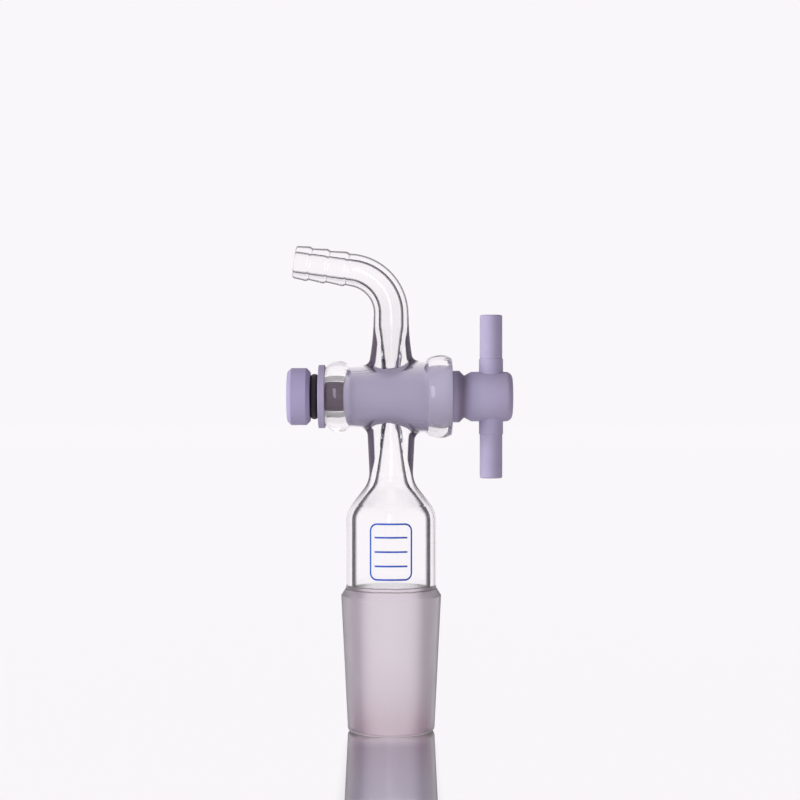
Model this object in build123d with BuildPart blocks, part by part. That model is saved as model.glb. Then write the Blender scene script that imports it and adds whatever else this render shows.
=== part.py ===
"""Stopcock adapter: a blown glass body with a ground cone, and the tapered plug that shuts it."""

import os
from math import atan2, cos, radians, sin, tan

from build123d import *

# Ground cone, a standard 29/42 taper joint, in millimetres like every length here
cone_large_d = 29.2
cone_length = 39.6
cone_taper_share = 0.1
bevel_height = 2.4
rim_wall = 2.2
rim_round = 1.25
rim_bore_round = 0.4
gauge_round = 0.4
seam_round = 0.7

# Body tube and the shoulder that draws it in to the neck
body_d = 26.2
body_wall = 1.65
body_length = 22.1
shoulder_rise = 8.8
shoulder_round = 7.9
neck_d = 12.5
neck_flare_share = 0.049
neck_length = 24.7

# Flow channel through the neck, the plug and the upper tube
flow_d = 4.0
neck_bore_d = 9.8
neck_channel_length = 17.5
channel_round = 6.0

# Conical seat across the body, and the glass barrel round it
seat_d = 15.6
seat_taper_share = 0.2
barrel_small_length = 19.3
barrel_large_length = 17.8
barrel_small_wall = 2.3
barrel_large_wall = 1.85
mouth_flare = 0.35
mouth_length = 6.6

# Rolled beads at the two ends of the barrel
small_bead_d = 20.7
small_bead_length = 7.5
small_bead_crest = 4.6
small_end_d = 16.4
large_bead_d = 24.3
large_bead_length = 8.0
large_bead_crest = 3.2
large_end_d = 22.4
bead_root_round = 1.2
bead_end_round = 1.1
mouth_end_round = 0.9

# Bent hose connector on top
tube_d = 10.2
tube_bore_d = 7.2
tube_foot_d = 18.0
tube_rise = 24.2
tube_channel_length = 15.0
tube_straight_length = 4.0
bend_radius = 12.9
bend_angle = 82.0
neck_weld_round = 2.2
tube_weld_round = 2.0

# Hose barbs, each length counted from the tip
barb_root_d = 9.6
barb_lengths = (4.8, 5.2, 5.7)
barb_crest_d = 10.3
barb_valley_d = 9.4
barb_tip_d = 9.5
barb_step = 0.9
barb_root_length = 1.6
barb_round = 0.7
tip_round = 0.5
tip_bore_round = 0.4
barb_bore_d = 6.2

# Plug: seat, collar, groove and hub
seat_clearance = 0.02
plug_small_length = 14.3
plug_large_length = 17.9
plug_chamfer = 0.4
collar_d = 15.1
collar_end = 19.9
groove_d = 12.3
groove_end = 21.3
hub_d = 14.5
hub_start = 23.4
hub_nose = 6.2
hub_round = 2.0

# Stem through the washer, the ring and the nut
stem_d = 8.7
stem_flat = 0.7
thread_d = 7.9
thread_chamfer = 0.5
stem_recess = 0.5
shoulder_recess = 0.4

# Handle bar through the hub, whose nose ends past the bar
bar_reach = 29.2
bar_clearance = 0.03
bar_length = 47.7
bar_end_d = 6.6
bar_middle_d = 7.05
bar_middle_length = 22.2
bar_step_chamfer = 0.2
bar_end_round = 0.5

# Washer, sealing ring and nut on the stem
washer_d = 18.5
washer_thickness = 1.9
washer_clearance = 0.1
washer_chamfer = 0.15
ring_d = 13.3
ring_cord_d = 2.62
ring_thickness = 2.4
nut_d = 16.7
nut_thickness = 6.7
nut_clearance = 0.05
nut_chamfer = 1.1
nut_rim_round = 0.5
nut_mouth_chamfer = 0.5

# Every cut runs this far past the face it opens
overrun = 1.0

# Heights and radii that follow from the sizes above
cone_large_r = cone_large_d / 2
cone_small_r = cone_large_r - cone_length * cone_taper_share / 2
cone_top = cone_length + bevel_height
rim_bore_r = cone_small_r - rim_wall
body_r = body_d / 2
body_bore_r = body_r - body_wall
neck_r = neck_d / 2
shoulder_start = cone_top + body_length
shoulder_angle = atan2(body_r - neck_r, shoulder_rise)
neck_start = shoulder_start + shoulder_rise
barrel_z = neck_start + neck_length
neck_top_r = neck_r + neck_length * neck_flare_share
flow_r = flow_d / 2
neck_bore_r = neck_bore_d / 2
tube_bore_r = tube_bore_d / 2
bore_shoulder = shoulder_start - body_wall * tan(shoulder_angle / 2)
bore_neck = bore_shoulder + (body_bore_r - neck_bore_r) / tan(shoulder_angle)
small_bead_root = small_bead_length - barrel_small_length
large_bead_root = barrel_large_length - large_bead_length
mouth_start = barrel_large_length - mouth_length
bend_z = barrel_z + tube_rise
bend_turn = radians(bend_angle)
barb_length = sum(barb_lengths) + barb_root_length
barb_origin = (bend_radius * (cos(bend_turn) - 1), 0, bend_z + bend_radius * sin(bend_turn))
barb_direction = (-sin(bend_turn), 0, cos(bend_turn))
washer_x = -barrel_small_length - washer_thickness
ring_x = washer_x - ring_thickness
nut_x = ring_x - nut_thickness
hub_end = bar_reach + hub_nose


def seat_r(x):
    """Radius of the conical seat at a distance x from the flow axis."""
    return (seat_d + x * seat_taper_share) / 2


# Frames of the turned pieces: the plug axis lies along X, the hose axis leaves the bend
barrel_plane = Plane(origin=(0, 0, barrel_z), x_dir=(1, 0, 0), z_dir=(0, -1, 0))
barrel_axis = Axis((0, 0, barrel_z), (1, 0, 0))
barb_plane = Plane(origin=barb_origin, x_dir=barb_direction, z_dir=(0, 1, 0))
barb_axis = Axis(barb_origin, barb_direction)

with BuildPart() as glass_body:
    # Cone, body, shoulder and neck in one outline, turned about the upright axis
    with BuildSketch(Plane.XZ):
        with BuildLine():
            FilletPolyline(
                (0, 0),
                (cone_small_r, 0),
                (cone_large_r, cone_length),
                (body_r, cone_top),
                (body_r, shoulder_start),
                (neck_r, neck_start),
                (neck_top_r, barrel_z),
                (0, barrel_z),
                radius=[rim_round, gauge_round, seam_round, shoulder_round, shoulder_round, 0],
            )
            Line((0, barrel_z), (0, 0))
        make_face()
    revolve(axis=Axis.Z)

    # Barrel with a rolled bead at each end, fused across the neck
    with BuildSketch(barrel_plane) as barrel_section:
        with BuildLine():
            small_root = (small_bead_root, seat_r(small_bead_root) + barrel_small_wall)
            small_crest = (small_bead_crest - barrel_small_length, small_bead_d / 2)
            small_end = (-barrel_small_length, small_end_d / 2)
            large_root = (large_bead_root, seat_r(large_bead_root) + barrel_large_wall)
            large_crest = (barrel_large_length - large_bead_crest, large_bead_d / 2)
            large_end = (barrel_large_length, large_end_d / 2)
            Polyline(small_end, (-barrel_small_length, 0), (barrel_large_length, 0), large_end)
            ThreePointArc(large_end, large_crest, large_root)
            Line(large_root, small_root)
            ThreePointArc(small_root, small_crest, small_end)
        make_face()
        fillet(barrel_section.vertices().sort_by_distance(small_root)[0], radius=bead_root_round)
        fillet(barrel_section.vertices().sort_by_distance(large_root)[0], radius=bead_root_round)
        fillet(barrel_section.vertices().sort_by_distance(small_end)[0], radius=bead_end_round)
        fillet(barrel_section.vertices().sort_by_distance(large_end)[0], radius=mouth_end_round)
    revolve(axis=barrel_axis)
    fillet(glass_body.edges(Select.NEW), radius=neck_weld_round)

    # Upper tube, flared towards its foot and fused on the barrel
    with BuildSketch(Plane.XZ):
        with BuildLine():
            Polyline((tube_foot_d / 2, barrel_z), (0, barrel_z), (0, bend_z), (tube_d / 2, bend_z))
            TangentArc((tube_d / 2, bend_z), (tube_foot_d / 2, barrel_z), tangent=(0, -1))
        make_face()
    revolve(axis=Axis.Z)
    fillet(glass_body.edges(Select.NEW), radius=tube_weld_round)

    # Bend, thinning a little from the tube to the root of the barbs
    with BuildLine(Plane.XZ) as bend_path:
        CenterArc((-bend_radius, bend_z), bend_radius, 0, bend_angle)
    with BuildSketch(Plane(origin=(0, 0, bend_z), z_dir=(0, 0, 1))):
        Circle(tube_d / 2)
    with BuildSketch(Plane(origin=barb_origin, z_dir=barb_direction)):
        Circle(barb_root_d / 2)
    sweep(path=bend_path.line, multisection=True)

    # Barbs: each one rises away from the tip and then steps in
    with BuildSketch(barb_plane) as barb_section:
        with BuildLine():
            outline = [(barb_length, 0), (barb_length, barb_tip_d / 2)]
            reached = barb_length
            for length in barb_lengths:
                reached -= length
                outline.append((reached + barb_step, barb_crest_d / 2))
                outline.append((reached, barb_valley_d / 2))
            outline += [(0, barb_root_d / 2), (0, 0)]
            rounds = [tip_round] + [barb_round] * (2 * len(barb_lengths)) + [0]
            FilletPolyline(*outline, radius=rounds)
            Line((0, 0), (barb_length, 0))
        make_face()
    revolve(axis=barb_axis)

    # Hollow of the cone and the body, drawn in to the flow channel
    with BuildSketch(Plane.XZ):
        with BuildLine():
            FilletPolyline(
                (0, -overrun),
                (rim_bore_r, -overrun),
                (rim_bore_r, 0),
                (body_bore_r, cone_top),
                (body_bore_r, bore_shoulder),
                (neck_bore_r, bore_neck),
                (flow_r, bore_neck + neck_channel_length),
                (flow_r, barrel_z),
                (0, barrel_z),
                radius=[
                    0,
                    0,
                    shoulder_round,
                    shoulder_round - body_wall,
                    shoulder_round + body_wall,
                    channel_round,
                    0,
                ],
            )
            Line((0, barrel_z), (0, -overrun))
        make_face()
    revolve(axis=Axis.Z, mode=Mode.SUBTRACT)
    rim_edges = glass_body.edges().filter_by(GeomType.CIRCLE).group_by(Axis.Z)[0]
    fillet(rim_edges.sort_by(SortBy.RADIUS)[0], radius=rim_bore_round)

    # Flow channel up the tube, round the bend and out through the barbs
    with BuildSketch(Plane.XZ):
        with BuildLine():
            FilletPolyline(
                (0, barrel_z),
                (flow_r, barrel_z),
                (flow_r, bend_z - tube_channel_length),
                (tube_bore_r, bend_z - tube_straight_length),
                (tube_bore_r, bend_z),
                (0, bend_z),
                radius=[0, channel_round, channel_round, 0],
            )
            Line((0, bend_z), (0, barrel_z))
        make_face()
    revolve(axis=Axis.Z, mode=Mode.SUBTRACT)
    with BuildSketch(Plane(origin=(0, 0, bend_z), z_dir=(0, 0, 1))):
        Circle(tube_bore_r)
    with BuildSketch(Plane(origin=barb_origin, z_dir=barb_direction)):
        Circle(barb_bore_d / 2)
    sweep(path=bend_path.line, multisection=True, mode=Mode.SUBTRACT)
    with BuildSketch(Plane(origin=barb_origin, z_dir=barb_direction)):
        Circle(barb_bore_d / 2)
    extrude(amount=barb_length + overrun, mode=Mode.SUBTRACT)
    tip_face = glass_body.faces().filter_by(GeomType.PLANE).sort_by(Axis.X)[0]
    fillet(tip_face.inner_wires()[0].edges(), radius=tip_bore_round)

    # Conical seat, opened a little at the mouth
    with BuildSketch(barrel_plane):
        with BuildLine():
            cut_start = -barrel_small_length - overrun
            mouth_r = seat_r(barrel_large_length) + mouth_flare
            Polyline(
                (cut_start, 0),
                (cut_start, seat_r(cut_start)),
                (mouth_start, seat_r(mouth_start)),
                (barrel_large_length, mouth_r),
                (barrel_large_length + overrun, mouth_r),
                (barrel_large_length + overrun, 0),
                close=True,
            )
        make_face()
    revolve(axis=barrel_axis, mode=Mode.SUBTRACT)
glass_body.part.label = "glass_body"

with BuildPart() as plug:
    # Stem, seat, collar, groove and hub turned from one bar
    with BuildSketch(barrel_plane) as plug_section:
        with BuildLine():
            stem_end = nut_x + stem_recess
            thread_start = washer_x + shoulder_recess
            small_r = seat_r(-plug_small_length) - seat_clearance
            large_r = seat_r(plug_large_length) - seat_clearance
            Polyline(
                (stem_end, 0),
                (stem_end, thread_d / 2),
                (thread_start, thread_d / 2),
                (thread_start, stem_d / 2),
                (-plug_small_length, stem_d / 2),
                (-plug_small_length, small_r),
                (plug_large_length, large_r),
                (plug_large_length, collar_d / 2),
                (collar_end, collar_d / 2),
                (groove_end, groove_d / 2),
                (hub_start, hub_d / 2),
                (hub_end, hub_d / 2),
                (hub_end, 0),
                close=True,
            )
        make_face()
        small_corner = plug_section.vertices().sort_by_distance((-plug_small_length, small_r))[0]
        large_corner = plug_section.vertices().sort_by_distance((plug_large_length, large_r))[0]
        chamfer([small_corner, large_corner], length=plug_chamfer)
        stem_corner = plug_section.vertices().sort_by_distance((stem_end, thread_d / 2))[0]
        chamfer(stem_corner, length=thread_chamfer)
        hub_corner = plug_section.vertices().sort_by_distance((hub_end, hub_d / 2))[0]
        fillet(hub_corner, radius=hub_round)
    revolve(axis=barrel_axis)

    # Flow hole across the seat, and the hole that the handle bar is pressed into
    with Locations((0, 0, barrel_z)):
        Hole(radius=flow_r)
    with Locations((bar_reach, 0, barrel_z)):
        Hole(radius=bar_middle_d / 2 + bar_clearance)

    # Flat along the stem that keeps the washer from turning on it
    with BuildSketch(Plane(origin=(stem_end, 0, barrel_z), x_dir=(0, 1, 0), z_dir=(1, 0, 0))):
        with Locations((stem_d / 2 - stem_flat, 0)):
            Rectangle(stem_d, stem_d, align=(Align.MIN, Align.CENTER))
    extrude(amount=-plug_small_length - stem_end, mode=Mode.SUBTRACT)
plug.part.label = "plug"

with BuildPart() as handle_bar:
    # Upper half of the stepped bar, then its mirror image below the plug axis
    with BuildSketch(barrel_plane) as bar_section:
        with BuildLine():
            bar_side = bar_reach + bar_end_d / 2
            Polyline(
                (bar_reach, 0),
                (bar_reach + bar_middle_d / 2, 0),
                (bar_reach + bar_middle_d / 2, bar_middle_length / 2),
                (bar_side, bar_middle_length / 2),
                (bar_side, bar_length / 2),
                (bar_reach, bar_length / 2),
                close=True,
            )
        make_face()
        step_corner = bar_section.vertices().group_by(Axis.X)[-1].sort_by(Axis.Y)[-1]
        chamfer(step_corner, length=bar_step_chamfer)
        end_corner = bar_section.vertices().sort_by_distance((bar_side, bar_length / 2))[0]
        fillet(end_corner, radius=bar_end_round)
    revolve(axis=Axis((bar_reach, 0, barrel_z), (0, 0, 1)))
    mirror(about=Plane(origin=(0, 0, barrel_z), z_dir=(0, 0, 1)))
handle_bar.part.label = "handle_bar"

with BuildPart() as washer:
    # Flat disc with a hole that matches the flat on the stem
    with BuildSketch(Plane(origin=(washer_x, 0, barrel_z), x_dir=(0, 1, 0), z_dir=(1, 0, 0))):
        Circle(washer_d / 2)
    extrude(amount=washer_thickness)
    chamfer(washer.edges().filter_by(GeomType.CIRCLE), length=washer_chamfer)
    with BuildSketch(Plane(origin=(washer_x, 0, barrel_z), x_dir=(0, 1, 0), z_dir=(1, 0, 0))):
        Circle(stem_d / 2 + washer_clearance)
        with Locations((stem_d / 2 - stem_flat + washer_clearance, 0)):
            Rectangle(stem_d, stem_d, align=(Align.MIN, Align.CENTER), mode=Mode.SUBTRACT)
    extrude(amount=washer_thickness, mode=Mode.SUBTRACT)
washer.part.label = "washer"

with BuildPart() as o_ring:
    # Round cord pressed flat between the washer and the nut
    with BuildSketch(barrel_plane):
        with Locations((ring_x + ring_thickness / 2, (ring_d - ring_cord_d) / 2)):
            Circle(ring_cord_d / 2)
            Rectangle(ring_thickness, ring_cord_d, mode=Mode.INTERSECT)
    revolve(axis=barrel_axis)
o_ring.part.label = "o_ring"

with BuildPart() as nut:
    # Plain round nut, broken and softened at both rims, and broken at both mouths of its bore
    with BuildSketch(Plane(origin=(nut_x, 0, barrel_z), x_dir=(0, 1, 0), z_dir=(1, 0, 0))):
        Circle(nut_d / 2)
        Circle(thread_d / 2 + nut_clearance, mode=Mode.SUBTRACT)
    extrude(amount=nut_thickness)
    nut_rims = nut.edges().filter_by(GeomType.CIRCLE).sort_by(SortBy.RADIUS)
    chamfer(nut_rims[-2:], length=nut_chamfer)
    nut_mouths = nut.edges().filter_by(GeomType.CIRCLE).sort_by(SortBy.RADIUS)
    chamfer(nut_mouths[:2], length=nut_mouth_chamfer)
    bevel_edges = nut.edges().filter_by(GeomType.CIRCLE).sort_by(SortBy.RADIUS)
    fillet(bevel_edges[-4:], radius=nut_rim_round)
nut.part.label = "nut"

os.makedirs("parts", exist_ok=True)
export_step(glass_body.part, "parts/glass_body.step")
export_step(plug.part, "parts/plug.step")
export_step(handle_bar.part, "parts/handle_bar.step")
export_step(washer.part, "parts/washer.step")
export_step(o_ring.part, "parts/o_ring.step")
export_step(nut.part, "parts/nut.step")
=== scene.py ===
"""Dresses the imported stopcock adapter: blown glass, turned plug and handle, seal and nut."""

import logging
from dataclasses import dataclass
from enum import Enum
from math import ceil, cos, pi, radians, sin
from typing import Any, Callable, Union

import bmesh
import bpy
from mathutils import Matrix, Vector


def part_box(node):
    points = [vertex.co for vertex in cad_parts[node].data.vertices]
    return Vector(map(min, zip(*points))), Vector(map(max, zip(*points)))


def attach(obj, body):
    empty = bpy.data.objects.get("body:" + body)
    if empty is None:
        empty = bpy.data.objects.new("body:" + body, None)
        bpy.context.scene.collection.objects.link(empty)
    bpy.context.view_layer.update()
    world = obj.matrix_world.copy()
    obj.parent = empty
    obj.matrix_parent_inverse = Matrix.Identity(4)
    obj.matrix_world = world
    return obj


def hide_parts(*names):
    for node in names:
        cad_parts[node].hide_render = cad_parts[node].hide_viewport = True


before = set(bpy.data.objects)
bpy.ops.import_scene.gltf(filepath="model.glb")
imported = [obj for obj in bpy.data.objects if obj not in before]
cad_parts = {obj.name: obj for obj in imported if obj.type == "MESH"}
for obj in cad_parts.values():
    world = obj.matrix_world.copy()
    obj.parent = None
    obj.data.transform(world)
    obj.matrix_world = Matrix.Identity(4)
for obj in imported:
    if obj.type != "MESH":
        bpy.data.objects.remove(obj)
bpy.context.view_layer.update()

Colour = tuple[float, float, float, float]
Point = tuple[float, float, float]
Pair = tuple[float, float]
Operand = Union["Value", float]

MM = 0.001
FULL_TURN = 2 * pi
QUARTER_TURN = FULL_TURN / 4
HALF = 0.5
ROOT_POWER = 0.5
EVEN_BLEND = 0.5
NOISE_MIDDLE = 0.5
SHARP_ANGLE = radians(30.0)
# Places of a colour's sockets on a Mix node, where several share a name
MIX_SHARE, MIX_FIRST, MIX_SECOND, MIX_RESULT = 0, 6, 7, 2
LOG = logging.getLogger("stopcock")


class Turning(Enum):
    """Axis that a turned piece ran on in the lathe."""

    ALONG_X = "X"
    ALONG_Z = "Z"


class Seen(Enum):
    """Kinds of ray that look at the white table and backdrop, as Light Path names them."""

    CAMERA = "Is Camera Ray"
    MIRROR = "Is Glossy Ray"
    THROUGH_GLASS = "Is Transmission Ray"


class Value:
    """A shader value: wraps an output socket, so that Python arithmetic adds Math nodes."""

    def __init__(self, graph: "Graph", socket: bpy.types.NodeSocket) -> None:
        """Keeps the graph and the output socket that the value comes from."""
        self.graph = graph
        self.socket = socket

    def _math(self, operation: str, *operands: Operand) -> "Value":
        """Adds a Math node on the operands."""
        return self.graph.node("ShaderNodeMath", {"operation": operation}, dict(enumerate(operands)))

    def __add__(self, other: Operand) -> "Value":
        """Sum of two values."""
        return self._math("ADD", self, other)

    def __radd__(self, other: float) -> "Value":
        """Sum with a number on the left."""
        return self._math("ADD", other, self)

    def __sub__(self, other: Operand) -> "Value":
        """Difference of two values."""
        return self._math("SUBTRACT", self, other)

    def __rsub__(self, other: float) -> "Value":
        """A number less this value."""
        return self._math("SUBTRACT", other, self)

    def __mul__(self, other: Operand) -> "Value":
        """Product of two values."""
        return self._math("MULTIPLY", self, other)

    def __rmul__(self, other: float) -> "Value":
        """Product with a number on the left."""
        return self._math("MULTIPLY", other, self)

    def __pow__(self, other: Operand) -> "Value":
        """This value raised to a power."""
        return self._math("POWER", self, other)

    def __abs__(self) -> "Value":
        """Size of the value without its sign."""
        return self._math("ABSOLUTE", self)

    def sine(self) -> "Value":
        """Sine of the value in radians."""
        return self._math("SINE", self)

    def larger(self, other: Operand) -> "Value":
        """The larger of two values."""
        return self._math("MAXIMUM", self, other)

    def hypot(self, other: "Value") -> "Value":
        """Length of the diagonal over two values at right angles."""
        return (self * self + other * other) ** ROOT_POWER

    def ease(self, low: float, high: float) -> "Value":
        """Runs smoothly from 0 where the value is low to 1 where it is high.

        Args:
            low: Value that gives 0.
            high: Value that gives 1.

        Returns:
            The eased value, held at 0 and 1 outside the two.
        """
        settings = {"interpolation_type": "SMOOTHSTEP"}
        sockets = {"Value": self, "From Min": low, "From Max": high, "To Min": 0.0, "To Max": 1.0}
        return self.graph.node("ShaderNodeMapRange", settings, sockets)

    def past(self, border: float, fade: float) -> "Value":
        """0 below a border and 1 above it, eased over a fade on either side."""
        return self.ease(border - fade, border + fade)

    def between(self, rise: float, full: float, fall: float, end: float) -> "Value":
        """0 up to rise, 1 from full to fall and 0 again from end, eased in between."""
        return self.ease(rise, full) * (1.0 - self.ease(fall, end))

    def output(self, name: str) -> "Value":
        """Another output of the node that this value comes from."""
        return Value(self.graph, self.socket.node.outputs[name])


class Graph:
    """Builds one node tree, with every node made by the same method."""

    def __init__(self, tree: bpy.types.NodeTree) -> None:
        """Empties the tree so that nothing but the finish's own nodes is in it."""
        self.tree = tree
        tree.nodes.clear()

    def _add(self, kind: str, settings: dict[str, Any], sockets: dict[Any, Any]) -> bpy.types.Node:
        """Adds a node.

        Args:
            kind: Blender's name of the node type.
            settings: Properties of the node, which are set before its sockets.
            sockets: Numbers, colours or values for its inputs, by name or index.

        Returns:
            The new node.
        """
        made = self.tree.nodes.new(kind)
        for name, setting in settings.items():
            setattr(made, name, setting)
        for key, given in sockets.items():
            if isinstance(given, Value):
                self.tree.links.new(given.socket, made.inputs[key])
            else:
                made.inputs[key].default_value = given
        return made

    def node(self, kind: str, settings: dict[str, Any], sockets: dict[Any, Any], output: int = 0) -> Value:
        """Adds a node and hands back one of its outputs, the first unless another index is given."""
        return Value(self, self._add(kind, settings, sockets).outputs[output])

    def finish(self, shader: Value, target: str = "ShaderNodeOutputMaterial") -> None:
        """Ends the tree in its output node."""
        self._add(target, {}, {"Surface": shader})

    def mix(self, share: Operand, first: Any, second: Any) -> Value:
        """Blends two colours, with share as the weight of the second."""
        sockets = {MIX_SHARE: share, MIX_FIRST: first, MIX_SECOND: second}
        return self.node("ShaderNodeMix", {"data_type": "RGBA"}, sockets, MIX_RESULT)

    def blend(self, share: Operand, first: Value, second: Value) -> Value:
        """Blends two shaders, with share as the weight of the second."""
        return self.node("ShaderNodeMixShader", {}, {0: share, 1: first, 2: second})

    def place(self) -> Value:
        """Object coordinates, which are the frame's own metres on every piece."""
        return self.node("ShaderNodeTexCoord", {}, {}).output("Object")

    def split(self, vector: Value) -> tuple[Value, Value, Value]:
        """X, Y and Z of a vector."""
        parts = self.node("ShaderNodeSeparateXYZ", {}, {0: vector})
        return parts, parts.output("Y"), parts.output("Z")

    def facing(self) -> Value:
        """How much the surface turns away from the ray, from 0 to 1."""
        return self.node("ShaderNodeLayerWeight", {}, {"Blend": EVEN_BLEND}).output("Facing")

    def behind(self) -> Value:
        """1 where the ray meets the surface from inside, 0 from outside."""
        return self.node("ShaderNodeNewGeometry", {}, {}).output("Backfacing")

    def noise(self, vector: Value, per_metre: float, detail: float = 2.0) -> Value:
        """Smooth noise about its middle, with the given number of features in a metre."""
        return self.node("ShaderNodeTexNoise", {}, {"Vector": vector, "Scale": per_metre, "Detail": detail})

    def bump(self, height: Value) -> Value:
        """Normal that is tilted by a height given in metres."""
        return self.node("ShaderNodeBump", {}, {"Strength": 1.0, "Distance": 1.0, "Height": height})

    def white_seen(self) -> Value:
        """Tells the rays that see the table and backdrop as white from light that only bounces.

        Returns:
            1 for the rays that see white, 0 for the others.
        """
        path = self.node("ShaderNodeLightPath", {}, {})
        seen = path.output(Seen.CAMERA.value)
        for kind in (Seen.MIRROR, Seen.THROUGH_GLASS):
            seen = seen.larger(path.output(kind.value))
        return seen


def new_material(name: str) -> tuple[bpy.types.Material, Graph]:
    """Makes an empty material.

    Args:
        name: Name of the material.

    Returns:
        The material and the graph that fills it.
    """
    material = bpy.data.materials.new(name)
    material.use_nodes = True
    return material, Graph(material.node_tree)


@dataclass(frozen=True)
class Spot:
    """The point that is shaded: its place, its turn from the ray, and whether the ray is in the glass."""

    x: Value
    y: Value
    z: Value
    facing: Value
    behind: Value


@dataclass(frozen=True)
class BlownGlass:
    """Clear blown glass that is ground matt over the outside of its cone, with painted shade and painted
    reflection in its walls.
    """

    barrel_height: float
    name: str = "blown_glass"
    refraction: float = 1.47
    # Clear glass, and painted shade in its walls: a greyer tube, darker walls where they turn away, dark
    # lines, dark bands and a dark shade
    clear: Colour = (0.998, 0.994, 0.998, 1)
    tube: Colour = (0.945, 0.94, 0.945, 1)
    wall: Colour = (0.8, 0.75, 0.81, 1)
    line: Colour = (0.008, 0.005, 0.01, 1)
    band: Colour = (0.03, 0.02, 0.038, 1)
    shade: Colour = (0.07, 0.046, 0.08, 1)
    # Ground cone: its tones, with painted shade at its sides and painted light at its outline, then where
    # it lies and how matt it is
    ground: Colour = (0.6, 0.53, 0.59, 1)
    ground_side_shade: Colour = (0.38, 0.315, 0.38, 1)
    ground_foot: Colour = (0.44, 0.32, 0.37, 1)
    ground_foot_side: Colour = (0.26, 0.14, 0.205, 1)
    ground_bevel: Colour = (0.72, 0.62, 0.7, 1)
    ground_limb_light: Colour = (0.9, 0.8, 0.92, 1)
    ground_back: Colour = (0.97, 0.95, 0.97, 1)
    rim: Colour = (0.5, 0.39, 0.44, 1)
    frost: Colour = (0.84, 0.74, 0.85, 1)
    frost_share: float = 0.07
    ground_reach: float = 11.8 * MM
    ground_top: float = 42.6 * MM
    ground_wobble: float = 0.5 * MM
    ground_fade: float = 0.2 * MM
    ground_roughness: float = 0.5
    roughness_swing: float = 0.1
    back_roughness_share: float = 0.4
    bevel_start: float = 39.5 * MM
    bevel_tilt: float = 0.09
    foot_height: float = 25.56 * MM
    foot_side_height: float = 17.04 * MM
    rim_height: float = 0.7 * MM
    side_rise: Pair = (0.05, 0.3)
    side_dip: Pair = (0.4, 0.55)
    side_dip_share: float = 0.65
    side_end: Pair = (0.5, 0.7)
    limb: Pair = (0.5, 0.75)
    # Dark rings where the grinding ends
    seam: Colour = (0.07, 0.027, 0.031, 1)
    seam_width: float = 0.3 * MM
    seam_heights: Pair = (41.6 * MM, 42.6 * MM)
    # Run of the upright walls, each measured to the middle of the wall
    shoulder_low: float = 63.7 * MM
    shoulder_high: float = 72.9 * MM
    body_mid_wall: float = 12.3 * MM
    neck_mid_wall: float = 5.5 * MM
    tube_mid_wall: float = 4.4 * MM
    bend_height: float = 121.8 * MM
    bend_radius: float = 12.9 * MM
    hose_slope: float = radians(8.0)
    # Cross barrel, and the painted reflection along its outline, broader over its upper half
    barrel_mid_wall: float = 8.6 * MM
    barrel_taper_share: float = 0.1
    barrel_half_height: float = 13.5 * MM
    weld_start: float = 7.2 * MM
    weld_end: float = 9.0 * MM
    arm_rise: Pair = (-13.5 * MM, -12.5 * MM)
    arm_fall: Pair = (10.0 * MM, 11.0 * MM)
    rim_rise: float = 5.0 * MM
    upper_rim: Pair = (0.05, 0.95)
    lower_rim: Pair = (0.6, 0.75)
    # Painted dark lines and bands: where a wall turns away enough, they stand in for dark surroundings
    dark_line: Pair = (0.46, 0.66)
    band_start: float = 0.29
    band_step: float = 0.06
    band_narrowing: float = 0.4
    band_shade: float = 0.6
    neck_band: Pair = (71.5 * MM, 80.0 * MM)
    tube_band: Pair = (112.5 * MM, 121.0 * MM)
    bore_start: float = 0.19
    bore_start_step: float = 0.05
    shoulder_step: float = 0.16
    bore_step: float = 0.05
    bore_end: Pair = (0.262, 0.275)
    bore_shade: float = 0.8
    hose_bore: Pair = (-15.0 * MM, -8.0 * MM)
    hose_bore_share: float = 0.6
    edge: float = 0.1 * MM
    # Surface of the ground and of the blown glass
    grain_height: float = 0.004 * MM
    wave_height: float = 0.012 * MM
    grains_per_metre: float = 9000.0
    waves_per_metre: float = 130.0
    blotches_per_metre: float = 220.0

    def make(self) -> bpy.types.Material:
        """Builds the glass with its ground zone, the painted shade along its walls and the painted
        reflection along the barrel.

        Returns:
            The material.
        """
        material, graph = new_material(self.name)
        place = graph.place()
        spot = Spot(*graph.split(place), graph.facing(), graph.behind())
        reach = spot.x.hypot(spot.y)
        blotch = graph.noise(place, self.blotches_per_metre) - NOISE_MIDDLE
        top = spot.z + blotch * self.ground_wobble
        ground = reach.ease(self.ground_reach - self.ground_fade, self.ground_reach)
        ground = ground * (1.0 - top.past(self.ground_top, self.ground_fade))
        grain = graph.noise(place, self.grains_per_metre)
        wave = graph.noise(place, self.waves_per_metre, detail=0.0)
        height = grain * ground * self.grain_height + wave * (1.0 - ground) * self.wave_height
        roughness = ground * (self.ground_roughness + self.roughness_swing * blotch)
        outside, cross, band = self._outside(spot), self._cross(spot), self._band(spot)
        barrel = self._barrel(spot, cross)
        clear = self._clear(graph, spot, outside, cross, band)
        colour = graph.mix(ground, clear, self._ground(graph, spot))
        sockets = {
            "Base Color": self._seamed(graph, colour, top, reach, spot.behind),
            "Roughness": roughness * (1.0 - spot.behind * (1.0 - self.back_roughness_share)),
            "IOR": self.refraction,
            "Transmission Weight": 1.0,
            "Normal": graph.bump(height),
        }
        glass = graph.node("ShaderNodeBsdfPrincipled", {}, sockets)
        # Painted shade: a dark diffuse mixed into the glass where its walls would show dark surroundings
        dark = graph.node("ShaderNodeBsdfDiffuse", {}, {"Color": self.shade})
        frost = graph.node("ShaderNodeBsdfDiffuse", {}, {"Color": self.frost})
        # Painted reflection: a mirror mixed in along the barrel's outline and over its upper half
        mirror = graph.node("ShaderNodeBsdfGlossy", {}, {"Color": self.clear, "Roughness": 0.0})
        shaded = graph.blend(self._shaded(spot, outside, barrel, band) * (1.0 - ground), glass, dark)
        frosted = graph.blend(ground * (1.0 - spot.behind) * self.frost_share, shaded, frost)
        graph.finish(graph.blend(self._painted_reflection(spot, barrel), frosted, mirror))
        return material

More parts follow.
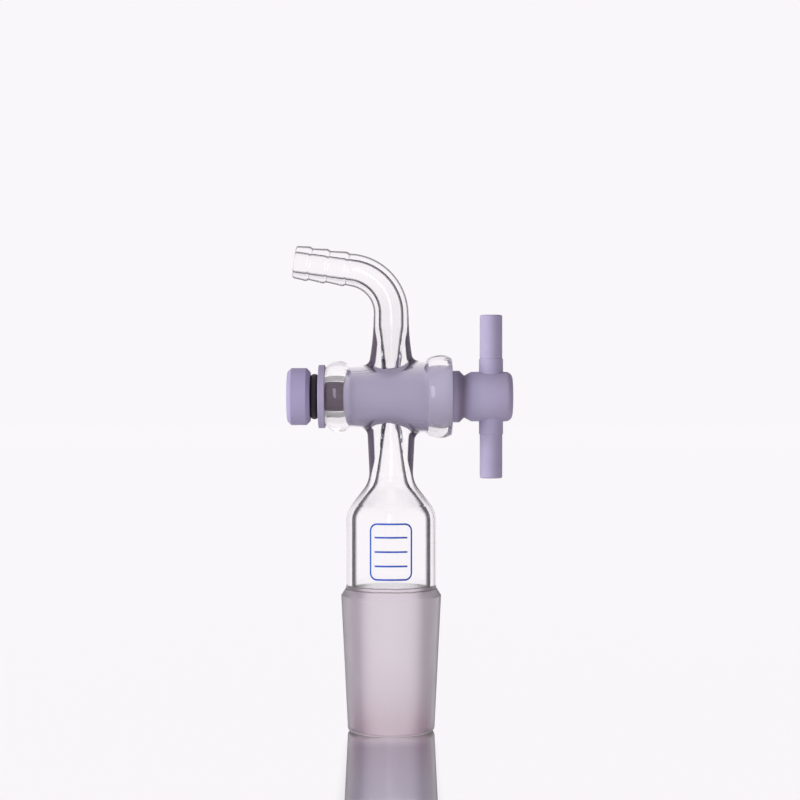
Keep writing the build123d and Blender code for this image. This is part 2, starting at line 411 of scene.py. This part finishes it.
    def _outside(self, spot: Spot) -> Value:
        """Tells the outside of the upright walls from their bores, also round the bend and along the hose.

        Args:
            spot: The point that is shaded.

        Returns:
            1 on the outside, 0 in the bores.
        """
        above = spot.z.ease(self.shoulder_low, self.shoulder_high)
        higher = spot.z.ease(self.barrel_height, self.tube_band[0])
        mid_wall = self.body_mid_wall + above * (self.neck_mid_wall - self.body_mid_wall)
        mid_wall = mid_wall + higher * (self.tube_mid_wall - self.neck_mid_wall)
        bent = spot.z.past(self.bend_height, self.edge)
        away = spot.x + self.bend_radius
        lift = spot.z - self.bend_height
        arc = away.hypot(lift)
        level = away * sin(self.hose_slope) + lift * cos(self.hose_slope)
        straight = (lift * sin(self.hose_slope) - away * cos(self.hose_slope)).past(0.0, self.edge)
        sideways = spot.x + bent * (arc + straight * (level - arc) - self.bend_radius - spot.x)
        return (sideways.hypot(spot.y) - mid_wall).past(0.0, self.edge)

    def _cross(self, spot: Spot) -> Value:
        """Finds the arms of the cross barrel, inside and out.

        Args:
            spot: The point that is shaded.

        Returns:
            1 on the arms, 0 elsewhere.
        """
        arms = spot.x.hypot(spot.y).ease(self.weld_start, self.weld_end)
        rise = abs(spot.z - self.barrel_height)
        return arms * (1.0 - rise.ease(self.barrel_half_height, self.barrel_half_height + self.edge))

    def _barrel(self, spot: Spot, cross: Value) -> Value:
        """Finds the outside of the cross barrel.

        Args:
            spot: The point that is shaded.
            cross: 1 on the arms of the barrel, inside and out.

        Returns:
            1 on the outside, 0 elsewhere.
        """
        rise = spot.z - self.barrel_height
        across = spot.y.hypot(rise) - spot.x * self.barrel_taper_share
        return cross * across.past(self.barrel_mid_wall, self.edge)

    def _band(self, spot: Spot) -> Value:
        """Draws the broad bands of painted shade along neck and tube, which narrow away from the barrel.

        Args:
            spot: The point that is shaded.

        Returns:
            The share of the bands.
        """
        narrowing = 1.0 - spot.z.ease(*self.neck_band) + spot.z.ease(*self.tube_band)
        start = self.band_start + self.band_narrowing * narrowing
        above = spot.z.ease(self.shoulder_low, self.shoulder_high)
        below = 1.0 - spot.z.ease(self.tube_band[1], self.tube_band[1] + self.edge)
        return above * below * (spot.facing - start).ease(0.0, self.band_step)

    def _shaded(self, spot: Spot, outside: Value, barrel: Value, band: Value) -> Value:
        """Finds the share of painted shade, a dark diffuse mixed into the glass, in the bands and inside
        the edges of the bores.

        Args:
            spot: The point that is shaded.
            outside: 1 on the outside of the upright walls.
            barrel: 1 on the outside of the cross barrel.
            band: Share of the broad bands.

        Returns:
            The share of the painted shade.
        """
        above = spot.z.ease(self.shoulder_low, self.shoulder_high)
        start = self.bore_start - self.bore_start_step * above + self.shoulder_step * above * (1.0 - above)
        bore = (spot.facing - start).ease(0.0, self.bore_step) * (1.0 - spot.facing.ease(*self.bore_end))
        softer = self.hose_bore_share + (1.0 - self.hose_bore_share) * spot.x.ease(*self.hose_bore)
        bore = bore * spot.behind * (1.0 - outside) * softer * self.bore_shade
        upright = outside * (1.0 - barrel)
        return bore.larger(band * upright * (1.0 - spot.behind) * self.band_shade)

    def _painted_reflection(self, spot: Spot, barrel: Value) -> Value:
        """Finds where a mirror is mixed into the barrel's outside as painted reflection: thin along its
        outline, broad over its upper half.

        Args:
            spot: The point that is shaded.
            barrel: 1 on the outside of the cross barrel.

        Returns:
            The share of the mirror.
        """
        arm = spot.x.between(*self.arm_rise, *self.arm_fall)
        upper = spot.z.ease(self.barrel_height, self.barrel_height + self.rim_rise)
        rim = spot.facing.ease(*self.lower_rim).larger(upper * spot.facing.ease(*self.upper_rim))
        return rim * arm * barrel * (1.0 - spot.behind)

    def _clear(self, graph: Graph, spot: Spot, outside: Value, cross: Value, band: Value) -> Value:
        """Colours the clear glass with painted shade: dark lines along its bores, broad bands along neck
        and tube, a greyer tube and darker walls where they turn away.

        Args:
            graph: Graph of the glass.
            spot: The point that is shaded.
            outside: 1 on the outside of the upright walls.
            cross: 1 on the arms of the barrel, inside and out.
            band: Share of the broad bands.

        Returns:
            The colour.
        """
        above = spot.z.ease(self.shoulder_low, self.shoulder_high)
        bend = (self.bend_height, self.bend_height + self.bend_radius)
        tube = spot.z.between(self.barrel_height, self.tube_band[0], *bend)
        # Painted shade: dark lines where the walls turn away, a greyer tube, dark bands and darker body
        # walls
        line = spot.facing.ease(*self.dark_line)
        lined = graph.mix(line, graph.mix(tube, self.clear, self.tube), self.line)
        banded = graph.mix(outside * band, lined, self.band)
        plain = graph.mix(line, self.clear, self.wall)
        return graph.mix((outside * (1.0 - above)).larger(cross), banded, plain)

    def _ground(self, graph: Graph, spot: Spot) -> Value:
        """Colours the ground cone: warmer and darker at its foot, with painted shade over its bore's edge
        and painted light at its outline, both following how far the surface turns, and clearer from inside.

        Args:
            graph: Graph of the glass.
            spot: The point that is shaded.

        Returns:
            The colour.
        """
        bevel = spot.z.ease(self.bevel_start, self.bevel_start + self.ground_fade)
        turned = spot.facing - self.bevel_tilt * bevel
        # Painted shade and painted light that follow how far the surface turns away: darker sides, lighter
        # outline
        side = turned.ease(*self.side_rise) * (1.0 - self.side_dip_share * turned.ease(*self.side_dip))
        side = side * (1.0 - turned.ease(*self.side_end))
        edge = graph.mix(spot.z.ease(0.0, self.foot_side_height), self.ground_foot_side, self.ground_side_shade)
        front = graph.mix(spot.z.ease(0.0, self.foot_height), self.ground_foot, self.ground)
        front = graph.mix(bevel, front, self.ground_bevel)
        front = graph.mix(side, front, edge)
        front = graph.mix(turned.ease(*self.limb), front, self.ground_limb_light)
        front = graph.mix(1.0 - spot.z.ease(0.0, self.rim_height), front, self.rim)
        return graph.mix(spot.behind, front, self.ground_back)

    def _seamed(self, graph: Graph, colour: Value, top: Value, reach: Value, behind: Value) -> Value:
        """Draws the fine dark rings where the grinding ends above the cone.

        Args:
            graph: Graph of the glass.
            colour: Colour without the rings.
            top: Height with a little wobble.
            reach: Distance from the upright axis.
            behind: 1 where the ray comes from inside the glass.

        Returns:
            The colour with the rings.
        """
        front = reach.past(self.body_mid_wall, self.edge) * (1.0 - behind)
        for height in self.seam_heights:
            ring = 1.0 - abs(top - height).ease(0.0, self.seam_width)
            colour = graph.mix(ring * front, colour, self.seam)
        return colour


@dataclass(frozen=True)
class Span:
    """A stretch of a turned piece with a painted tone, painted shade or painted light: the tone, where it
    comes in and where it goes.
    """

    tone: Colour
    rise: float
    full: float
    fall: float
    end: float
    share: float


@dataclass(frozen=True)
class TurnedPlastic:
    """White-lavender plastic turned on a lathe, with tool rings that follow the turned shape."""

    name: str
    axis: Turning
    centre: Point
    colour: Colour = (0.53, 0.485, 0.66, 1)
    shade: Colour = (0.47, 0.42, 0.58, 1)
    spans: tuple[Span, ...] = ()
    ring_pitch: float = 0.42 * MM
    ring_height: float = 0.0022 * MM
    clouds_per_metre: float = 85.0
    grains_per_metre: float = 2600.0
    smear_per_metre: float = 340.0
    smear_detail: float = 3.0
    cloud_edges: Pair = (0.3, 0.75)
    cloud_share: float = 0.7
    ring_share: float = 0.05
    grain_share: float = 0.25
    roughness: float = 0.4
    smear_roughness: float = 0.25
    refraction: float = 1.36
    gloss_level: float = 0.2

    def make(self) -> bpy.types.Material:
        """Builds the plastic with its tool rings, clouding, handled sheen and spans of painted shade and
        painted light.

        Returns:
            The material.
        """
        material, graph = new_material(self.name)
        place = graph.place()
        x, y, z = graph.split(place)
        along, across = (x, z - self.centre[2]) if self.axis is Turning.ALONG_X else (z, x - self.centre[0])
        clouds = graph.noise(place, self.clouds_per_metre)
        smear = graph.noise(place, self.smear_per_metre, self.smear_detail)
        grain = graph.noise(place, self.grains_per_metre) - NOISE_MIDDLE
        wound = along + y.hypot(across) + clouds * self.ring_pitch
        rings = (wound * (FULL_TURN / self.ring_pitch)).sine()
        tint = clouds.ease(*self.cloud_edges) * self.cloud_share
        tint = tint + rings * self.ring_share + grain * self.grain_share
        colour = graph.mix(tint, self.colour, self.shade)
        # Spans of painted shade and painted light along the turning axis
        for span in self.spans:
            share = span.share * along.between(span.rise, span.full, span.fall, span.end)
            colour = graph.mix(share, colour, span.tone)
        sockets = {
            "Base Color": colour,
            "Roughness": self.roughness + self.smear_roughness * smear,
            "IOR": self.refraction,
            "Specular IOR Level": self.gloss_level,
            "Normal": graph.bump((rings * smear + grain) * self.ring_height),
        }
        graph.finish(graph.node("ShaderNodeBsdfPrincipled", {}, sockets))
        return material


@dataclass(frozen=True)
class MouldedRubber:
    """Black sealing rubber with a dry bloom and a fine moulded grain."""

    name: str = "black_rubber"
    colour: Colour = (0.01, 0.007, 0.011, 1)
    bloom: Colour = (0.022, 0.017, 0.025, 1)
    bloom_edges: Pair = (0.45, 0.75)
    bloom_per_metre: float = 420.0
    bloom_detail: float = 4.0
    grains_per_metre: float = 3500.0
    grain_height: float = 0.006 * MM
    roughness: float = 0.45
    bloom_roughness: float = 0.3

    def make(self) -> bpy.types.Material:
        """Builds the rubber.

        Returns:
            The material.
        """
        material, graph = new_material(self.name)
        place = graph.place()
        bloom = graph.noise(place, self.bloom_per_metre, self.bloom_detail)
        grain = graph.noise(place, self.grains_per_metre)
        sockets = {
            "Base Color": graph.mix(bloom.ease(*self.bloom_edges), self.colour, self.bloom),
            "Roughness": self.roughness + self.bloom_roughness * bloom,
            "Normal": graph.bump(grain * self.grain_height),
        }
        graph.finish(graph.node("ShaderNodeBsdfPrincipled", {}, sockets))
        return material


@dataclass(frozen=True)
class FiredEnamel:
    """Blue enamel that is screened on the glass and fired, a little thin in places."""

    name: str = "blue_enamel"
    colour: Colour = (0.018, 0.075, 0.5, 1)
    thin: Colour = (0.05, 0.16, 0.66, 1)
    thin_edges: Pair = (0.4, 0.7)
    specks_per_metre: float = 1800.0
    speck_detail: float = 3.0
    mesh_height: float = 0.003 * MM
    roughness: float = 0.25
    speck_roughness: float = 0.3

    def make(self) -> bpy.types.Material:
        """Builds the enamel.

        Returns:
            The material.
        """
        material, graph = new_material(self.name)
        specks = graph.noise(graph.place(), self.specks_per_metre, self.speck_detail)
        sockets = {
            "Base Color": graph.mix(specks.ease(*self.thin_edges), self.colour, self.thin),
            "Roughness": self.roughness + self.speck_roughness * specks,
            "Normal": graph.bump(specks * self.mesh_height),
        }
        graph.finish(graph.node("ShaderNodeBsdfPrincipled", {}, sockets))
        return material


def new_piece(
    name: str, shape: bmesh.types.BMesh, body: str, finish: bpy.types.Material
) -> bpy.types.Object:
    """Makes an object from a bmesh and hangs it on a body of the frame.

    Args:
        name: Name of the piece.
        shape: The finished bmesh, which is freed.
        body: Body of the frame that the piece rides on.
        finish: Material of the piece.

    Returns:
        The new object, at the origin.
    """
    mesh = bpy.data.meshes.new(name)
    shape.to_mesh(mesh)
    shape.free()
    mesh.shade_smooth()
    mesh.set_sharp_from_angle(angle=SHARP_ANGLE)
    piece = bpy.data.objects.new(name, mesh)
    bpy.context.scene.collection.objects.link(piece)
    mesh.materials.append(finish)
    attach(piece, body)
    LOG.info("%s: %d faces on %s", name, len(mesh.polygons), body)
    return piece


def dress(node: str, finish: bpy.types.Material) -> None:
    """Gives a CAD node its finish."""
    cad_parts[node].material_slots[0].material = finish
    LOG.info("%s: dressed in %s", node, finish.name)


@dataclass(frozen=True)
class ThreadRidge:
    """A thread ridge about the plug axis: radii of its foot and crest, its pitch, and its foot's width."""

    root: float
    crest: float
    pitch: float
    width: float
    steps_per_turn: int = 48
    merge: float = 0.0001 * MM

    def wind(self, start: Point, turns: float) -> bmesh.types.BMesh:
        """Winds the ridge to the right and towards -X.

        Args:
            start: Point on the plug axis where the ridge begins.
            turns: Number of turns.

        Returns:
            The ridge as a closed bmesh.
        """
        steps = round(turns * self.steps_per_turn)
        axis_point = Vector(start)
        ridge = bmesh.new()
        profile = ((-self.width / 2, self.root), (0.0, self.crest), (self.width / 2, self.root))
        corners = [ridge.verts.new(axis_point + Vector((along, 0.0, reach))) for along, reach in profile]
        section = ridge.faces.new(corners)
        bmesh.ops.spin(
            ridge,
            geom=[section],
            cent=axis_point,
            axis=(-1.0, 0.0, 0.0),
            dvec=(-self.pitch / self.steps_per_turn, 0.0, 0.0),
            angle=steps * FULL_TURN / self.steps_per_turn,
            steps=steps,
        )
        bmesh.ops.remove_doubles(ridge, verts=ridge.verts, dist=self.merge)
        bmesh.ops.holes_fill(ridge, edges=ridge.edges, sides=len(profile))
        bmesh.ops.recalc_face_normals(ridge, faces=ridge.faces)
        return ridge


@dataclass
class GlassBody:
    """The blown glass, and the printed field for notes on its front."""

    barrel_height: float
    body_radius: float = 13.1 * MM
    print_lift: float = 0.02 * MM
    field_width: float = 12.6 * MM
    field_height: float = 16.4 * MM
    field_middle: float = 53.2 * MM
    field_corner: float = 2.2 * MM
    corner_segments: int = 8
    line_width: float = 0.5 * MM
    rule_gap: float = 4.1 * MM
    rule_inset: float = 1.5 * MM
    rules: tuple[int, ...] = (-1, 0, 1)
    bend_step: float = 0.4 * MM

    def build(self) -> None:
        """Dresses the glass and prints the field on it."""
        dress("glass_body", BlownGlass(self.barrel_height).make())
        new_piece("note_field", self._field(), "body", FiredEnamel().make())

    def _field(self) -> bmesh.types.BMesh:
        """Draws a rounded frame with ruled lines and wraps it on the body.

        Returns:
            The wrapped print as a bmesh.
        """
        ink = bmesh.new()
        self._sheet(ink, 0.0, self.field_width, self.field_height)
        bmesh.ops.bevel(
            ink,
            geom=ink.verts[:],
            offset=self.field_corner,
            affect="VERTICES",
            segments=self.corner_segments,
            profile=0.5,
            material=-1,
        )
        bmesh.ops.inset_region(ink, faces=ink.faces[:], thickness=self.line_width, use_boundary=True)
        middle = max(ink.faces, key=lambda face: face.calc_area())
        bmesh.ops.delete(ink, geom=[middle], context="FACES")
        for rule in self.rules:
            self._sheet(ink, rule * self.rule_gap, self.field_width - 2 * self.rule_inset, self.line_width)
        self._slice(ink)
        reach = self.body_radius + self.print_lift
        for corner in ink.verts:
            turn = corner.co.x / reach
            corner.co = (reach * sin(turn), -reach * cos(turn), corner.co.z)
        return ink

    def _sheet(self, ink: bmesh.types.BMesh, middle: float, width: float, height: float) -> None:
        """Adds a flat upright rectangle.

        Args:
            ink: The print, which gets the rectangle.
            middle: Height of the rectangle's middle above the field's own.
            width: Its width.
            height: Its height.
        """
        place = Matrix.Translation((0.0, 0.0, self.field_middle + middle))
        place = place @ Matrix.Rotation(QUARTER_TURN, 4, "X") @ Matrix.Diagonal((width, height, 1.0, 1.0))
        bmesh.ops.create_grid(ink, x_segments=1, y_segments=1, size=HALF, matrix=place)

    def _slice(self, ink: bmesh.types.BMesh) -> None:
        """Cuts the print into narrow upright strips, so that it can follow the round of the body.

        Args:
            ink: The flat print.
        """
        cuts = int(self.field_width / self.bend_step)
        for cut in range(1, cuts):
            place = (cut / cuts - HALF) * self.field_width
            geometry = ink.verts[:] + ink.edges[:] + ink.faces[:]
            bmesh.ops.bisect_plane(ink, geom=geometry, plane_co=(place, 0, 0), plane_no=(1, 0, 0))


# Painted shade and painted light for the spans of the turned plastic
PAINTED_SHADE: Colour = (0.13, 0.062, 0.105, 1)
PAINTED_LIGHT: Colour = (0.82, 0.76, 0.97, 1)


@dataclass
class Plug:
    """The turned plug: its seat wetted to the glass, and a real thread on its stem."""

    centre: Point
    washer_face: float
    stem_end: float
    shoulder_recess: float = 0.4 * MM
    mouth: float = 11.2 * MM
    seat_start: float = -14.4 * MM
    seat_floor: float = 4.6 * MM
    seat_swell: float = 1.011
    margin: float = 0.01 * MM
    merge: float = 0.001 * MM
    crest: float = 3.95 * MM
    core: float = 3.55 * MM
    flat: float = 3.65 * MM
    pitch: float = 1.25 * MM
    ridge_share: float = 0.62
    ridge_sink: float = 0.05 * MM
    # Painted shade on the washer, the stem in the bead, the groove and the hub; painted light on the seat
    # and mouth seen through the glass
    washer_span: Span = Span(PAINTED_SHADE, -22.0 * MM, -21.6 * MM, -19.7 * MM, -19.4 * MM, share=0.13)
    seal_span: Span = Span(PAINTED_SHADE, -19.4 * MM, -19.2 * MM, -14.5 * MM, -14.3 * MM, share=0.85)
    seat_span: Span = Span(PAINTED_LIGHT, -14.5 * MM, -14.3 * MM, 11.0 * MM, 11.4 * MM, share=0.38)
    mouth_span: Span = Span(PAINTED_LIGHT, 11.0 * MM, 11.4 * MM, 17.4 * MM, 17.8 * MM, share=0.7)
    groove_span: Span = Span(PAINTED_SHADE, 18.2 * MM, 20.3 * MM, 20.9 * MM, 22.8 * MM, share=0.6)
    hub_span: Span = Span(PAINTED_SHADE, 22.8 * MM, 35.4 * MM, 36.0 * MM, 37.0 * MM, share=0.15)

    @property
    def thread_start(self) -> float:
        """Where the thread begins on the stem, just inside the washer."""
        return self.washer_face + self.shoulder_recess

    @property
    def ridge_width(self) -> float:
        """Width of a thread ridge at its foot."""
        return self.pitch * self.ridge_share

    def plastic(self) -> bpy.types.Material:
        """Makes the plastic of the plug and its washer.

        Returns:
            The material.
        """
        stem_spans = (self.washer_span, self.seal_span, self.seat_span)
        head_spans = (self.mouth_span, self.groove_span, self.hub_span)
        spans = stem_spans + head_spans
        return TurnedPlastic("turned_plastic", Turning.ALONG_X, self.centre, spans=spans).make()

    def build(self, finish: bpy.types.Material) -> None:
        """Builds the plug and the thread on its stem.

        Args:
            finish: Material of both.
        """
        plug = new_piece("plug_turned", self._body(), "plug", finish)
        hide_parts("plug")
        new_piece("stem_thread", self._thread(), "plug", finish)

    def _body(self) -> bmesh.types.BMesh:
        """Copies the plug, swells its seat onto the glass and turns its stem down to the thread's core.

        Returns:
            The plug as a merged bmesh.
        """
        body = bmesh.new()
        body.from_mesh(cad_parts["plug"].data)
        bmesh.ops.remove_doubles(body, verts=body.verts, dist=self.merge)
        geometry = body.verts[:] + body.edges[:] + body.faces[:]
        bmesh.ops.bisect_plane(body, geom=geometry, plane_co=(self.mouth, 0, 0), plane_no=(1, 0, 0))
        self._swell(body, self._on_seat, self.seat_swell)
        self._swell(body, self._on_thread, self.core / self.crest)
        return body

    def _on_seat(self, point: Vector) -> bool:
        """Whether a corner lies on the conical seat, clear of the stem and of the flow hole's inside."""
        reach = Vector((point.y, point.z - self.centre[2])).length
        return self.seat_start < point.x <= self.mouth + self.margin and reach > self.seat_floor

    def _on_thread(self, point: Vector) -> bool:
        """Whether a corner lies on the part of the stem that carries the thread."""
        return point.x < self.thread_start - self.margin

    def _swell(self, body: bmesh.types.BMesh, chosen: Callable[[Vector], bool], share: float) -> None:
        """Scales some corners of the plug about its axis.

        Args:
            body: The plug.
            chosen: Tells whether a corner is scaled.
            share: New distance from the axis, as a share of the old one.
        """
        corners = [corner for corner in body.verts if chosen(corner.co)]
        space = Matrix.Translation(-Vector(self.centre))
        bmesh.ops.scale(body, vec=(1.0, share, share), space=space, verts=corners)

    def _thread(self) -> bmesh.types.BMesh:
        """Winds the thread on the stem and cuts it off at the stem's flat.

        Returns:
            The thread as a bmesh.
        """
        width = self.ridge_width
        start = (self.thread_start - width, self.centre[1], self.centre[2])
        turns = (start[0] - self.stem_end - width) / self.pitch
        ridge = ThreadRidge(self.core - self.ridge_sink, self.crest, self.pitch, width).wind(start, turns)
        geometry = ridge.verts[:] + ridge.edges[:] + ridge.faces[:]
        bmesh.ops.bisect_plane(
            ridge,
            geom=geometry,
            plane_co=(0, self.flat, 0),
            plane_no=(0, 1, 0),
            clear_outer=True,
        )
        bmesh.ops.holes_fill(ridge, edges=ridge.edges)
        return ridge


@dataclass
class Nut:
    """The round nut with the thread inside it."""

    plug: Plug
    near_end: float
    far_end: float
    bore: float = 4.05 * MM
    crest: float = 3.66 * MM
    mouth: float = 0.6 * MM
    # A darker, bluer copy of the plug's plastic: partly the nut's own tone, partly painted shade
    colour: Colour = (0.46, 0.425, 0.62, 1)
    shade: Colour = (0.41, 0.37, 0.54, 1)

    def build(self) -> None:
        """Dresses the nut and winds its thread."""
        plastic = TurnedPlastic("nut_plastic", Turning.ALONG_X, self.plug.centre, self.colour, self.shade)
        finish = plastic.make()
        dress("nut", finish)
        new_piece("nut_thread", self._thread(), "nut", finish)

    def _thread(self) -> bmesh.types.BMesh:
        """Winds the ridge that runs in the grooves of the stem's thread, half a pitch from the stem's own.

        Returns:
            The ridge as a bmesh.
        """
        pitch = self.plug.pitch
        width = self.plug.ridge_width
        inset = self.mouth + width / 2
        stem_start = self.plug.thread_start - width
        skipped = ceil((stem_start - self.near_end + inset) / pitch - HALF)
        first = stem_start - (skipped + HALF) * pitch
        turns = (first - self.far_end - inset) / pitch
        start = (first, self.plug.centre[1], self.plug.centre[2])
        return ThreadRidge(self.bore, self.crest, pitch, width).wind(start, turns)


@dataclass
class Handle:
    """The stepped bar that is pressed through the hub."""

    centre: Point

    def build(self) -> None:
        """Dresses the bar."""
        dress("handle_bar", TurnedPlastic("bar_plastic", Turning.ALONG_Z, self.centre).make())


@dataclass
class Seal:
    """The washer against the glass and the rubber ring outside it."""

    def build(self, finish: bpy.types.Material) -> None:
        """Dresses the washer in the plug's plastic and the ring in rubber."""
        dress("washer", finish)
        dress("o_ring", MouldedRubber().make())


@dataclass(frozen=True)
class Lamp:
    """A soft rectangular lamp that no mirroring surface shows: its power is in watts."""

    name: str
    place: Point
    power: float
    size: Pair
    colour: Point
    shows_through_glass: bool

    def hang(self, aim: Point) -> None:
        """Hangs the lamp in the scene.

        Args:
            aim: Where the lamp points.
        """
        light = bpy.data.lights.new(self.name, "AREA")
        light.shape = "RECTANGLE"
        light.size, light.size_y = self.size
        light.energy = self.power
        light.color = self.colour
        lamp = bpy.data.objects.new(self.name, light)
        lamp.location = self.place
        lamp.rotation_euler = (Vector(aim) - Vector(self.place)).to_track_quat("-Z", "Y").to_euler()
        lamp.visible_glossy = False
        lamp.visible_transmission = self.shows_through_glass
        bpy.context.scene.collection.objects.link(lamp)


@dataclass
class Studio:
    """White table and backdrop, soft lamps and the camera."""

    white: Colour = (0.956, 0.93, 0.956, 1)
    fill: Colour = (0.15, 0.13, 0.15, 1)
    table_radius: float = 6.0
    table_segments: int = 96
    bounce_share: float = 0.25
    shadow_share: float = 0.3
    shadow_reach: float = 0.5
    mirror_share: float = 0.97
    mirror_turn: Pair = (0.45, 0.8)
    mirror_roughness: float = 0.02
    mirror_colour: Colour = (1, 1, 1, 1)
    # Painted shadow: a darker strip in the table's mirror, in front of the foot
    mirror_shadow: Colour = (0.62, 0.625, 0.69, 1)
    mirror_shadow_width: Pair = (7.0 * MM, 14.0 * MM)
    mirror_shadow_start: Pair = (6.0 * MM, 28.0 * MM)
    mirror_shadow_end: Pair = (84.0 * MM, 112.0 * MM)
    key: Lamp = Lamp("key", (-0.86, -0.38, 0.32), 8.4, (0.55, 0.8), (1.0, 0.98, 1.0), False)
    front: Lamp = Lamp("front", (-0.1, -1.0, 0.35), 2.2, (0.14, 0.9), (0.82, 0.86, 1.0), True)
    aim: Point = (0.0, 0.0, 0.085)
    camera_place: Point = (0.00258, -0.52, 0.0966)
    lens: float = 80.0

    def build(self) -> None:
        """Builds the table, the world, the lamps and the camera."""
        bpy.context.scene.view_settings.view_transform = "Standard"
        self._table()
        self._world()
        self.key.hang(self.aim)
        self.front.hang(self.aim)
        self._camera()

    def _table(self) -> None:
        """Lays the round table top."""
        top = bmesh.new()
        bmesh.ops.create_circle(top, cap_ends=True, segments=self.table_segments, radius=self.table_radius)
        mesh = bpy.data.meshes.new("table")
        top.to_mesh(mesh)
        top.free()
        mesh.materials.append(self._table_finish())
        table = bpy.data.objects.new("table", mesh)
        bpy.context.scene.collection.objects.link(table)

    def _table_finish(self) -> bpy.types.Material:
        """Makes the pale table, which mirrors at a low angle, keeps the soft shadow near the object and has
        a painted shadow strip in its mirror in front of the foot.

        Returns:
            The material.
        """
        material, graph = new_material("white_table")
        x, y, _ = graph.split(graph.place())
        shadow = self.shadow_share * (1.0 - x.hypot(y).ease(0.0, self.shadow_reach))
        lit = graph.node("ShaderNodeBsdfDiffuse", {}, {"Color": self.white})
        glow = graph.node("ShaderNodeEmission", {}, {"Color": self.white, "Strength": 1.0})
        shown = graph.blend(shadow, glow, lit)
        matt = graph.blend(graph.white_seen(), graph.blend(self.bounce_share, lit, glow), shown)
        # Painted shadow strip in the mirror, in front of the foot
        shade = (0.0 - y).between(*self.mirror_shadow_start, *self.mirror_shadow_end)
        shade = shade * (1.0 - abs(x).ease(*self.mirror_shadow_width))
        bright, dim = (self._mirror(graph, colour) for colour in (self.mirror_colour, self.mirror_shadow))
        share = graph.facing().ease(*self.mirror_turn) * self.mirror_share
        graph.finish(graph.blend(share, matt, graph.blend(shade, bright, dim)))
        return material

    def _mirror(self, graph: Graph, colour: Colour) -> Value:
        """Gloss of the table in one colour."""
        return graph.node("ShaderNodeBsdfGlossy", {}, {"Color": colour, "Roughness": self.mirror_roughness})

    def _world(self) -> None:
        """Fills the world: white where it is looked at, and a soft fill where it only lights."""
        world = bpy.data.worlds.new("studio")
        world.use_nodes = True
        bpy.context.scene.world = world
        graph = Graph(world.node_tree)
        colour = graph.mix(graph.white_seen(), self.fill, self.white)
        light = graph.node("ShaderNodeBackground", {}, {"Color": colour, "Strength": 1.0})
        graph.finish(light, "ShaderNodeOutputWorld")

    def _camera(self) -> None:
        """Sets the level camera in front of the object."""
        data = bpy.data.cameras.new("camera")
        data.lens = self.lens
        camera = bpy.data.objects.new("camera", data)
        camera.location = self.camera_place
        camera.rotation_euler = (QUARTER_TURN, 0.0, 0.0)
        bpy.context.scene.collection.objects.link(camera)
        bpy.context.scene.camera = camera


def main() -> None:
    """Builds the studio and the sub-assemblies in order."""
    logging.basicConfig(level=logging.INFO, format="%(message)s")
    Studio().build()
    nut_low, nut_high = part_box("nut")
    stem_tip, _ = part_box("plug")
    washer_low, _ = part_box("washer")
    bar_low, bar_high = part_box("handle_bar")
    plug_centre = (0.0, 0.0, (nut_low.z + nut_high.z) / 2)
    bar_centre = ((bar_low.x + bar_high.x) / 2, 0.0, 0.0)
    plug = Plug(plug_centre, washer_low.x, stem_tip.x)
    turned = plug.plastic()
    GlassBody(plug_centre[2]).build()
    plug.build(turned)
    Handle(bar_centre).build()
    Seal().build(turned)
    Nut(plug, nut_high.x, nut_low.x).build()


if __name__ == "__main__":
    main()
